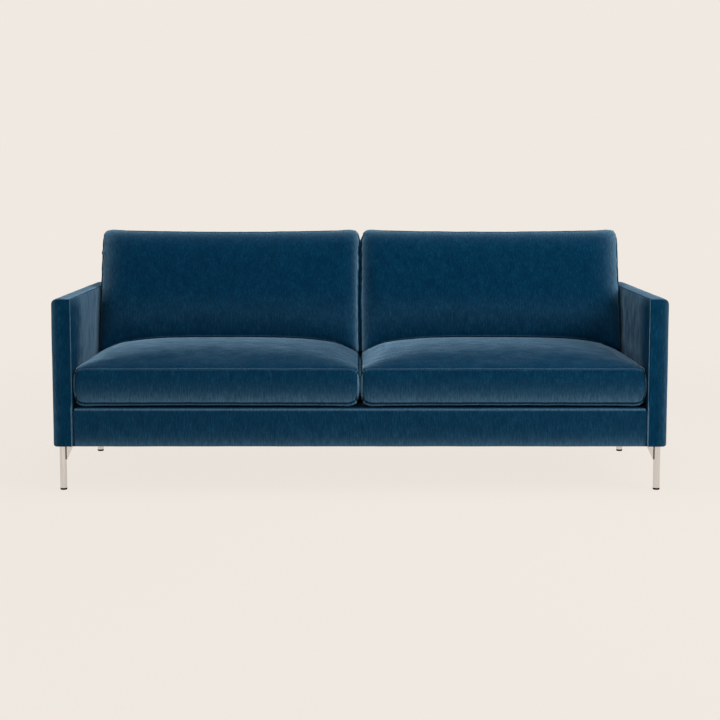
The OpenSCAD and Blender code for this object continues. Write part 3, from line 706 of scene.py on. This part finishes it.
def near_end(value, half, reach):
    """0 away from an end, rising to 1 at it as a quarter circle does"""
    share = max(0.0, abs(value) - half + reach) / reach
    return 1 - math.sqrt(max(0.0, 1 - share * share))


def roll_share(gap, reach):
    """0 at a seam, rising to 1 over a rounded shoulder"""
    left = 1 - limited(gap / reach)
    return math.sqrt(1 - left * left)


CROWN_POWER = 0.8


def crown_share(c, u, v):
    """how high the crown is at a place, from -1 to 1 across and along the cushion"""
    return (max(0.0, 1 - abs(u) ** c["across"]) * max(0.0, 1 - abs(v) ** c["along"])) ** CROWN_POWER


ROLL_REACH = 0.024
EAR_REACH = 0.07
SWELL_REACH = 0.03


def cushion_point(c, point):
    """moves a point of the cushion's box to the shape that the cover was sewn to"""
    half_w, half_d, tall = c["wide"] / 2, c["deep"] / 2, c["boxing"]
    u, v, level = point.x / half_w, point.y / half_d, point.z / tall
    # The square corners of the box are drawn onto circles
    radius = c["corner"] if v < 0 else c["low_corner"]
    round_x = max(radius - half_w, min(half_w - radius, point.x))
    round_y = max(radius - half_d, min(half_d - radius, point.y))
    off_x, off_y = point.x - round_x, point.y - round_y
    length = math.hypot(off_x, off_y)
    if length > 0:
        pull = max(abs(off_x), abs(off_y)) / length
        off_x, off_y = off_x * pull, off_y * pull
    # The boxing is drawn in at its seams and swells between them
    bulge = between(level, 0, 1, 3)
    drawn = c["draw"] * (1 - bulge)
    x = (round_x + off_x) * (1 - drawn / half_w)
    y = round_y + off_y
    free = 0.5 - 0.5 * v
    x += math.copysign(c["swell"], x) * bulge * near_end(point.x, half_w, SWELL_REACH) * (1 - v**4)
    y += free * (drawn + (c["bow"] * (1 - u * u) if v < 0 else 0.0))
    y -= c["ear"] * free**3 * max(0.0, (abs(point.x) - half_w + EAR_REACH) / EAR_REACH) ** 2
    # The corners are squeezed thinner, and the two faces swell
    corner = near_end(point.x, half_w, c["reach"]) * near_end(point.y, half_d, 1.8 * c["reach"])
    z = tall / 2 + (point.z - tall / 2) * (1 - 2 * c["squeeze"] / tall * corner)
    gap = min(half_w - abs(point.x), half_d - abs(point.y))
    if level > 0.9999:
        z += c["crown"] * crown_share(c, u, v) + c["roll"] * roll_share(gap, ROLL_REACH)
    elif level < 0.0001:
        z -= c["belly"] * roll_share(gap, 0.6 * c["belly"])
    return Vector((x, y, z))


# Rows of points beside a seam, close together where the lip and the roll are
SEAM_ROWS = (1.3 * MM, 3.2 * MM, 6 * MM, 11 * MM)
FACE_ROWS = SEAM_ROWS + (18 * MM,)


def end_steps(half, pitch):
    """places from end to end, close together near the seams at both ends"""
    close = [half - inset for inset in FACE_ROWS]
    return [-place for place in close] + steps(-close[-1], close[-1], pitch) + sorted(close)


ZIP_WIDE = 18 * MM
ZIP_DEEP = 6.5 * MM
ZIP_MARGIN = 0.08
ZIP_RIM = 1.5 * MM


def cushion_box(name, c):
    """the sewn cushion: a cut box moved to shape, with its seams marked and a pocket for the zip"""
    half_w, half_d, tall = c["wide"] / 2, c["deep"] / 2, c["boxing"]
    piece = block(name, (-half_w, -half_d, 0), (half_w, half_d, tall))
    zip_end = half_w - ZIP_MARGIN
    zip_edge = ZIP_WIDE / 2
    cut(piece, 0, end_steps(half_w, c["pitch"]))
    cut(piece, 0, [s * (zip_end + o) for s in (-1, 1) for o in (0, ZIP_RIM)])
    cut(piece, 1, end_steps(half_d, c["pitch"]))
    levels = list(SEAM_ROWS) + steps(SEAM_ROWS[-1], tall - SEAM_ROWS[-1], c["pitch"])
    levels += [tall - row for row in SEAM_ROWS]
    levels = [z for z in levels if all(abs(z - tall / 2 - o) > 3 * MM for o in (-zip_edge, zip_edge))]
    cut(piece, 2, levels + [tall / 2 + s * (zip_edge + o) for s in (-1, 1) for o in (0, ZIP_RIM)])
    mesh = piece.data
    # Each point keeps its gap to the nearest seam, negative on the boxing, and its own place on the rim
    gaps, rims = [], []
    seams = piece.vertex_groups.new(name="sewn")
    for vertex in mesh.vertices:
        p = vertex.co.copy()
        to_x, to_y, to_z = half_w - abs(p.x), half_d - abs(p.y), min(p.z, tall - p.z)
        gaps.append(min(to_x, to_y) if to_z < NEAR else -to_z)
        if to_x < to_y:
            rims.append((math.copysign(half_w, p.x), p.y, p.z))
        else:
            rims.append((p.x, math.copysign(half_d, p.y), p.z))
        if abs(gaps[-1]) < NEAR or p.y > half_d - NEAR:
            seams.add([vertex.index], 1.0, "REPLACE")
        vertex.co = cushion_point(c, p)
    mesh.attributes.new("seam_gap", "FLOAT", "POINT").data.foreach_set("value", gaps)
    rim = mesh.attributes.new("seam_rim", "FLOAT_VECTOR", "POINT")
    rim.data.foreach_set("vector", [part for point in rims for part in point])
    edit_faces(piece, lambda face: (face.center.y > half_d - 0.1 * MM and abs(face.center.x) < zip_end
                                    and abs(face.center.z - tall / 2) < zip_edge))
    bpy.ops.mesh.extrude_region_move(TRANSFORM_OT_translate={"value": (0, -ZIP_DEEP, 0)})
    bpy.ops.mesh.select_more()
    bpy.ops.transform.edge_crease(value=1.0)
    bpy.ops.object.mode_set(mode="OBJECT")
    return piece


CLOTH_SETTINGS = dict(
    quality=6, mass=0.4, tension_stiffness=25, compression_stiffness=25, shear_stiffness=8,
    bending_stiffness=1.2, use_pressure=True, vertex_group_mass="sewn", pin_stiffness=1.0,
)
FRAMES = 20
EASED = 5


def fill(piece, c):
    """blows the sewn cover up as its filling does: cloth with pressure, seams held, wrinkles eased"""
    start = [vertex.co.copy() for vertex in piece.data.vertices]
    take(piece)
    cloth = piece.modifiers.new("filling", "CLOTH")
    for name, value in CLOTH_SETTINGS.items():
        setattr(cloth.settings, name, value)
    cloth.settings.uniform_pressure_force = c["pressure"]
    cloth.settings.shrink_min = -c["slack"]
    cloth.settings.effector_weights.gravity = 0
    for number in range(1, FRAMES + 1):
        scene.frame_set(number)
    bpy.ops.object.modifier_apply(modifier="filling")
    scene.frame_set(1)
    moves = [vertex.co - origin for vertex, origin in zip(piece.data.vertices, start)]
    moves = [move * min(1.0, c["cap"] / max(move.length, NEAR)) for move in moves]
    for _ in range(EASED):
        sums = [move.copy() for move in moves]
        counts = [1] * len(moves)
        for edge in piece.data.edges:
            a, b = edge.vertices
            sums[a] += moves[b]
            sums[b] += moves[a]
            counts[a] += 1
            counts[b] += 1
        moves = [total / count for total, count in zip(sums, counts)]
    for vertex, origin, move in zip(piece.data.vertices, start, moves):
        vertex.co = origin + move


def filled_cushion(name, c):
    """a cushion that is sewn, blown up and made smooth, with no furrows yet"""
    piece = cushion_box(name, c)
    fill(piece, c)
    return modify(piece, "SUBSURF", levels=1, render_levels=1)


LONG_GATHER, SHORT_GATHER = 0.026, 0.011
PUCKER_REACH = 17 * MM


def sew(piece, c, pucker, seed):
    """puts furrow, lips and puckers at the seams, and leaves only the velvet's own attributes"""
    mesh = piece.data
    count = len(mesh.vertices)
    gaps = [0.0] * count
    rims = [0.0] * (3 * count)
    mesh.attributes["seam_gap"].data.foreach_get("value", gaps)
    mesh.attributes["seam_rim"].data.foreach_get("vector", rims)
    normals = [vertex.normal.copy() for vertex in mesh.vertices]
    edges, leans = [], []
    for index, vertex in enumerate(mesh.vertices):
        rim = Vector(rims[3 * index : 3 * index + 3])
        signed, gap = gaps[index], abs(gaps[index])
        upper = vertex.co.z > c["boxing"] / 2
        gather = ripple(rim, LONG_GATHER, seed) + 0.6 * ripple(rim, SHORT_GATHER, seed + 1)
        move = seam_height(gap, 0.9 * MM, 1.6 * MM) + pucker(rim) * gather * fade(gap, PUCKER_REACH)
        move += 0.8 * MM * ripple(vertex.co, 0.07, seed + 2)
        vertex.co += normals[index] * move
        # Painted sheen: a highlight line on each seam's lip, fainter on one side of the seam, and the
        # cushion's bands of painted sheen
        lip = lip_highlight(gap) if (signed > 0) == upper else 0.25 * lip_highlight(gap)
        edges.append(0.6 * lip + sheen_paint_at(c, vertex.co, signed, upper))
        leans.append(lean(c, vertex.co, normals[index], signed, upper))
    store_painted_sheen(piece, edges)
    keep_lean(piece, leans)
    mesh.attributes.remove(mesh.attributes["seam_gap"])
    mesh.attributes.remove(mesh.attributes["seam_rim"])
    piece.vertex_groups.clear()


def seam_light(c, point):
    """1 at the side and top seams of a back cushion's face, fading inwards: where sheen is painted and the
    pile leans up; on the outer side it stops below the arm's top, as painted shade from the arm
    """
    outer = point.x < 0
    above = limited((0.08 - point.y) / 0.06) if outer else 1.0
    beside_it = above * fade(max(0.0, c["wide"] / 2 - abs(point.x)), 18 * MM if outer else 8 * MM)
    below_it = fade(max(0.0, c["deep"] / 2 + point.y), 13 * MM)
    return 1 - (1 - beside_it) * (1 - below_it)


def at_corner(c, point):
    """whether a point is at one of the upright corners of a cushion's boxing"""
    return abs(point.x) > c["wide"] / 2 - 9 * MM and abs(point.y) > c["deep"] / 2 - 16 * MM


JOINT_LEAN = -0.95


def lean(c, point, normal, signed, upper):
    """the pile points to the front in the joints, so one looks into it there, and up along the seams"""
    side = limited((abs(normal.x) - 0.7) / 0.2)
    if c is SEAT:
        if signed > 0 and upper:
            brushed = Vector((point.x, 1.8 * point.y, 0))
            return (0.05 * ripple(brushed, 0.05, 4), 0.07 * ripple(brushed, 0.05, 6), 0)
        if signed > 0:
            return (0, 0, 0.6)
        near = limited(2 - (point.y + c["deep"] / 2) / 0.025)
        deep_in = max(near, upper * bell(signed, 14 * MM))
        return (0, JOINT_LEAN * side * deep_in, 0.8 * at_corner(c, point) * (1 - side) * (point.y < 0))
    if not upper:
        return (0, 0, 0)
    if signed < 0:
        return (0, JOINT_LEAN * side * bell(signed, 18 * MM), 0)
    return (0.07 * ripple(point, 0.08, 4), 0.07 * ripple(point, 0.06, 6), 1.3 * seam_light(c, point))


def sheen_paint_at(c, point, signed, upper):
    """painted sheen: on a seat cushion's underside, low on its boxing and at its upright corners; and round
    a back cushion's face, with a faint band low on it
    """
    if c is SEAT:
        if signed > 0:
            return 0.9 * (not upper and signed > 1.5 * MM)
        low = 0.75 * fade(point.z, 24 * MM) + 0.9 * at_corner(c, point)
        return low * min(1.0, abs(signed) / (4 * MM)) ** 2
    low = 0.06 * bell(point.y - c["deep"] / 2 + 0.08, 0.05)
    return 1.6 * seam_light(c, point) + low if upper and signed >= 0 else 0.0


def seat_pucker(rim):
    """a seat cushion gathers evenly"""
    return 0.7 * MM


def back_pucker(rim):
    """the sides of a back cushion gather most in their upper half"""
    side = abs(rim.x) > BACKREST["wide"] / 2 - MM
    upper = limited(0.5 - rim.y / BACKREST["deep"] * 1.4)
    return (0.8 + 3.4 * upper) * MM if side else 0.5 * MM


def press(piece, low, high):
    """keeps a cushion between flat neighbours"""
    for vertex in piece.data.vertices:
        for axis in range(3):
            vertex.co[axis] = max(low[axis], min(high[axis], vertex.co[axis]))


RAIL_PLACE, RAIL_REACH, RAIL_SINK = -0.3, 0.04, 3 * MM


def set_seat(piece, seed):
    """sews a seat cushion and sets it on the deck, its front sunk a little onto the front rail"""
    sew(piece, SEAT, seat_pucker, seed)
    half_w, half_d = SEAT["wide"] / 2, SEAT["deep"] / 2
    press(piece, (-half_w, -half_d, -SEAT["belly"]), (half_w, half_d - NEAR, 1.0))
    for vertex in piece.data.vertices:
        over_rail = limited((RAIL_PLACE - vertex.co.y) / RAIL_REACH)
        vertex.co.z -= RAIL_SINK * over_rail * max(0.0, 1 - max(0.0, vertex.co.z) / 0.02)
    piece.data.transform(Matrix.Translation(SEAT_PLACE))


def under_backrest(piece):
    """the back cushion presses the seat's crown flat behind its foot"""
    for vertex in piece.data.vertices:
        plane = FOOT.z - GAP - math.tan(RECLINE) * (vertex.co.y - FOOT.y)
        vertex.co.z = min(vertex.co.z, plane)


BACK_MATRIX = (
    Matrix.Translation(FOOT) @ Matrix.Rotation(math.pi, 4, "Z")
    @ Matrix.Rotation(RECLINE - math.pi / 2, 4, "X")
    @ Matrix.Translation((0, -BACKREST["deep"] / 2, -BACKREST["boxing"]))
)
DOWN = (BACK_MATRIX.to_3x3() @ Vector((0, 1, 0))).normalized()
SLUMP_REACH = 0.16
PROBE_START, PROBE_REACH = 0.03, 0.12


def slump(piece, seat_piece):
    """lets a back cushion's lower part settle on the seat's crown, between flat neighbours"""
    side = FOOT.x - GAP
    press(piece, (-side, -1.0, -1.0), (side, 1.0, 1.0))
    tree = BVHTree.FromObject(seat_piece, bpy.context.evaluated_depsgraph_get())
    half_d = BACKREST["deep"] / 2
    for vertex in piece.data.vertices:
        foot = BACK_MATRIX @ Vector((vertex.co.x, half_d, vertex.co.z))
        hit = tree.ray_cast(foot - DOWN * PROBE_START, DOWN, PROBE_REACH)
        drop = (hit[3] - PROBE_START - GAP) if hit[0] else 0.0
        share = max(0.0, 1 - (half_d - vertex.co.y) / SLUMP_REACH)
        vertex.co = BACK_MATRIX @ vertex.co + DOWN * drop * share * share * (3 - 2 * share)


WAVE_HEIGHT, WAVE_LENGTH, WAVE_REACH = 2.2 * MM, 0.026, 0.018


def press_wave(piece):
    """the two back cushions press a wave into each other where they touch"""
    for vertex in piece.data.vertices:
        wave = math.sin((vertex.co.y - 0.02 * vertex.co.z) / WAVE_LENGTH)
        vertex.co.x += WAVE_HEIGHT * wave * bell(vertex.co.x, WAVE_REACH)


seat_cushion = filled_cushion("right_seat_cushion", SEAT)
back_cushion = filled_cushion("right_back_cushion", BACKREST)

# The left side comes first, because it copies the right side's cushions before they are sewn
for side, sign in SIDES.items():
    seat, rest = seat_cushion, back_cushion
    if sign < 0:
        seat, rest = left_copy(seat, "left_seat_cushion"), left_copy(rest, "left_back_cushion")
    set_seat(seat, 11 + sign)
    under_backrest(seat)
    sew(rest, BACKREST, back_pucker, 21 + sign)
    bpy.context.view_layer.update()
    slump(rest, seat)
    if sign < 0:
        mirror(seat)
        mirror(rest)
    press_wave(rest)
    for piece, body in ((seat, f"{side}_seat_cushion"), (rest, f"{side}_back_cushion")):
        piece.name = piece.data.name = body
        smooth(piece, 80)
        dress(piece, "velvet", body, f"{body}_cover", f"{body}_wrap")


# What the cushions hold: foam cores, and zips with their tapes folded into the boxing

KINDS = (("seat", SEAT, Matrix.Translation(SEAT_PLACE)), ("back", BACKREST, BACK_MATRIX))


def set_inside(piece, place, sign):
    """moves a piece from a cushion's own box into the cushion of one side"""
    piece.data.transform(place)
    return mirror(piece) if sign < 0 else piece


CORE_INSET = Vector((24, 24, 4)) * MM


def foam_core(name, c):
    """the cut block of foam inside a cushion"""
    low = Vector((-c["wide"] / 2, -c["deep"] / 2, 0)) + CORE_INSET
    high = Vector((c["wide"] / 2, c["deep"] / 2, c["boxing"])) - CORE_INSET
    core = block(name, low, high)
    modify(core, "BEVEL", width=22 * MM, segments=4, limit_method="NONE")
    for axis in range(3):
        cut(core, axis, steps(low[axis], high[axis], 60 * MM))
    for vertex in core.data.vertices:
        vertex.co += vertex.normal * 0.8 * MM * ripple(vertex.co, 0.05, 41)
    smooth(core)
    return core


for side, sign in SIDES.items():
    for kind, c, place in KINDS:
        core = set_inside(foam_core(f"{side}_{kind}_foam_core", c), place, sign)
        dress(core, "foam", f"{side}_{kind}_cushion", f"{side}_{kind}_cushion_core")

TOOTH_PITCH = 2.6 * MM
TOOTH_LONG = 1.5 * MM
TOOTH_TALL = 2.1 * MM
TAPE_WIDE = 8.6 * MM


def zip_chain(name, c):
    """a zip with its middle at the origin: two folded tapes that face +Y, a row of nylon turns on each"""
    half = c["wide"] / 2 - ZIP_MARGIN - MM
    parts = []
    for row in (-1, 1):
        low, high = sorted((row * 0.7 * MM, row * TAPE_WIDE))
        tape = block("tape", (-half, -2.2 * MM, low), (half, -1.2 * MM, high))
        cut(tape, 2, [row * place * MM for place in (2, 4, 6)])
        cut(tape, 0, steps(-half, half, 20 * MM))
        for vertex in tape.data.vertices:
            share = abs(vertex.co.z) / TAPE_WIDE
            vertex.co.y += 1.4 * MM * share * share + 0.25 * MM * ripple(vertex.co, 0.04, 31)
        tooth = block("tooth", (-half, -2.6 * MM, min(0, row * TOOTH_TALL)),
                      (TOOTH_LONG - half, -0.2 * MM, max(0, row * TOOTH_TALL)))
        modify(tooth, "BEVEL", width=0.4 * MM, segments=1, limit_method="NONE")
        tooth.data.transform(Matrix.Translation((0.6 * MM + row * TOOTH_PITCH / 4, 0, 0)))
        modify(tooth, "ARRAY", count=int((2 * half - 3 * MM) / TOOTH_PITCH), use_relative_offset=False,
               use_constant_offset=True, constant_offset_displace=(TOOTH_PITCH, 0, 0))
        parts += [tape, tooth]
    take(parts[0])
    for part in parts[1:]:
        part.select_set(True)
    bpy.ops.object.join()
    parts[0].name = parts[0].data.name = name
    smooth(parts[0], 35)
    parts[0].data.transform(Matrix.Translation((0, c["deep"] / 2 - ZIP_DEEP / 2, c["boxing"] / 2)))
    return parts[0]


for side, sign in SIDES.items():
    for kind, c, place in KINDS:
        chain = set_inside(zip_chain(f"{side}_{kind}_zip_chain", c), place, sign)
        dress(chain, "zip_tape", f"{side}_{kind}_cushion", f"{side}_{kind}_zip")


# At the legs: glides, moulded plugs with a domed foot, and black strips of painted shadow where gussets
# meet tubes

GLIDE_R = 11.75 * MM
GLIDE_TALL = 7 * MM
PLUG_R = 9.3 * MM
PLUG_TALL = 15 * MM
LEG_X = 1.0
LEG_Y = 0.395


def glide_piece(name, x, y):
    """a glide under the leg at a place"""
    bpy.ops.object.select_all(action="DESELECT")
    bpy.ops.mesh.primitive_cylinder_add(vertices=48, radius=GLIDE_R, depth=GLIDE_TALL,
                                        location=(x, y, GLIDE_TALL / 2))
    piece = named(name)
    edit_faces(piece, lambda face: face.normal.z > 0.9)
    bpy.ops.mesh.inset(thickness=GLIDE_R - PLUG_R)
    bpy.ops.mesh.extrude_region_move(TRANSFORM_OT_translate={"value": (0, 0, PLUG_TALL)})
    bpy.ops.object.mode_set(mode="OBJECT")
    bevel_edges(piece, lambda p: p.z < 0.1 * MM, 3.4 * MM, 6)
    bevel_edges(piece, lambda p: (abs(p.z - GLIDE_TALL) < 0.1 * MM
                                  and math.hypot(p.x - x, p.y - y) > 11 * MM), 0.6 * MM, 2)
    smooth(piece, 40)
    dress(piece, "glide", "frame", "leg_glides")


# Strips of painted shadow, where each gusset meets its tube
SHADOW_STRIP_LOW = (-1.6 * MM, -2.5 * MM, BASE - 52 * MM)
SHADOW_STRIP_HIGH = (1.6 * MM, 2.5 * MM, BASE - 5 * MM)


def gusset_shadow_strip(name, x, y):
    """a black strip between a gusset and its tube: painted shadow of the gap there"""
    shadow_piece = block(name, SHADOW_STRIP_LOW, SHADOW_STRIP_HIGH)
    modify(shadow_piece, "BEVEL", width=0.7 * MM, segments=2, limit_method="NONE")
    smooth(shadow_piece, 40)
    shadow_piece.data.transform(Matrix.Translation((x, y, 0)))
    dress(shadow_piece, "glide", "frame")


LEGS = [(f"{side}_{place}", sign, end)
        for side, sign in SIDES.items() for place, end in (("front", -1), ("back", 1))]
for leg, sign, end in LEGS:
    glide_piece(f"{leg}_glide", sign * LEG_X, end * LEG_Y)
for leg, sign, end in LEGS:
    gusset_shadow_strip(f"{leg}_gusset_shadow_strip", sign * (LEG_X - 9.9 * MM), end * (LEG_Y + 4.9 * MM))


# Camera, stage and lights; the camera is the one that was fitted to the photo's edges

PAPER = "#f0e9e1"
FOCAL_MM = 81.76
SENSOR_MM = 36
TILT = 83.672

camera_data = bpy.data.cameras.new("camera")
camera_data.lens = FOCAL_MM
camera_data.sensor_width = SENSOR_MM
camera = bpy.data.objects.new("camera", camera_data)
camera.location = (0, -5.8363, 1.0433)
camera.rotation_euler = (math.radians(TILT), 0, 0)
scene.collection.objects.link(camera)
scene.camera = camera


def seen_directly(tree):
    """1 for what the camera, or a mirror or glass, looks at, and 0 for the light on the object"""
    path = put(tree, "ShaderNodeLightPath").outputs
    direct = path["Is Camera Ray"]
    for other in ("Is Glossy Ray", "Is Transmission Ray"):
        direct = put(tree, "ShaderNodeMath", {0: direct, 1: path[other]}, operation="MAXIMUM").outputs[0]
    return direct


def paper_floor():
    """matt studio paper: it looks as pale as the backdrop and keeps a faint shadow"""
    material = bpy.data.materials.new("studio_paper")
    tree = empty_tree(material)
    plain = put(tree, "ShaderNodeBsdfDiffuse", {"Color": linear(PAPER)})
    lit = put(tree, "ShaderNodeEmission", {"Color": linear(PAPER), "Strength": 1.0})
    where = put(tree, "ShaderNodeTexCoord").outputs["Object"]
    away = put(tree, "ShaderNodeVectorMath", {0: where}, operation="LENGTH").outputs["Value"]
    plainness = put(tree, "ShaderNodeMapRange", {
        "Value": away, "From Min": 1.3, "From Max": 5.0, "To Min": 0.93, "To Max": 1.0,
    }, interpolation_type="SMOOTHSTEP")
    inputs = {0: seen_directly(tree), 1: plainness.outputs[0]}
    share = put(tree, "ShaderNodeMath", inputs, operation="MULTIPLY")
    mixed = put(tree, "ShaderNodeMixShader", {0: share.outputs[0], 1: plain.outputs[0], 2: lit.outputs[0]})
    put(tree, "ShaderNodeOutputMaterial", {"Surface": mixed.outputs[0]})
    return material


bpy.ops.object.select_all(action="DESELECT")
bpy.ops.mesh.primitive_plane_add(size=60, location=(0, 20, 0))
floor = named("floor")
floor.data.materials.append(paper_floor())

scene.world = bpy.data.worlds.new("studio")
studio = empty_tree(scene.world)
room = put(studio, "ShaderNodeBackground", {"Color": linear("#f6f1ea"), "Strength": 0.27})
paper = put(studio, "ShaderNodeBackground", {"Color": linear(PAPER), "Strength": 1.0})
seen = put(studio, "ShaderNodeMixShader",
           {0: seen_directly(studio), 1: room.outputs[0], 2: paper.outputs[0]})
put(studio, "ShaderNodeOutputWorld", {"Surface": seen.outputs[0]})


LOOK_AT = Vector((0, 0, 0.4))


def softbox(name, place, size, power):
    """a large square white lamp that looks at the sofa"""
    lamp = bpy.data.lights.new(name, "AREA")
    lamp.shape = "SQUARE"
    lamp.size = size
    lamp.energy = power
    holder = bpy.data.objects.new(name, lamp)
    holder.location = place
    holder.rotation_euler = (LOOK_AT - Vector(place)).to_track_quat("-Z", "Y").to_euler()
    scene.collection.objects.link(holder)


softbox("key_softbox", (3.4, -2.6, 2.6), 2.2, 118)
softbox("top_softbox", (0.3, -0.2, 4.0), 3.0, 68)
softbox("fill_softbox", (-1.6, -5.0, 1.9), 2.5, 46)

scene.view_settings.view_transform = "Standard"
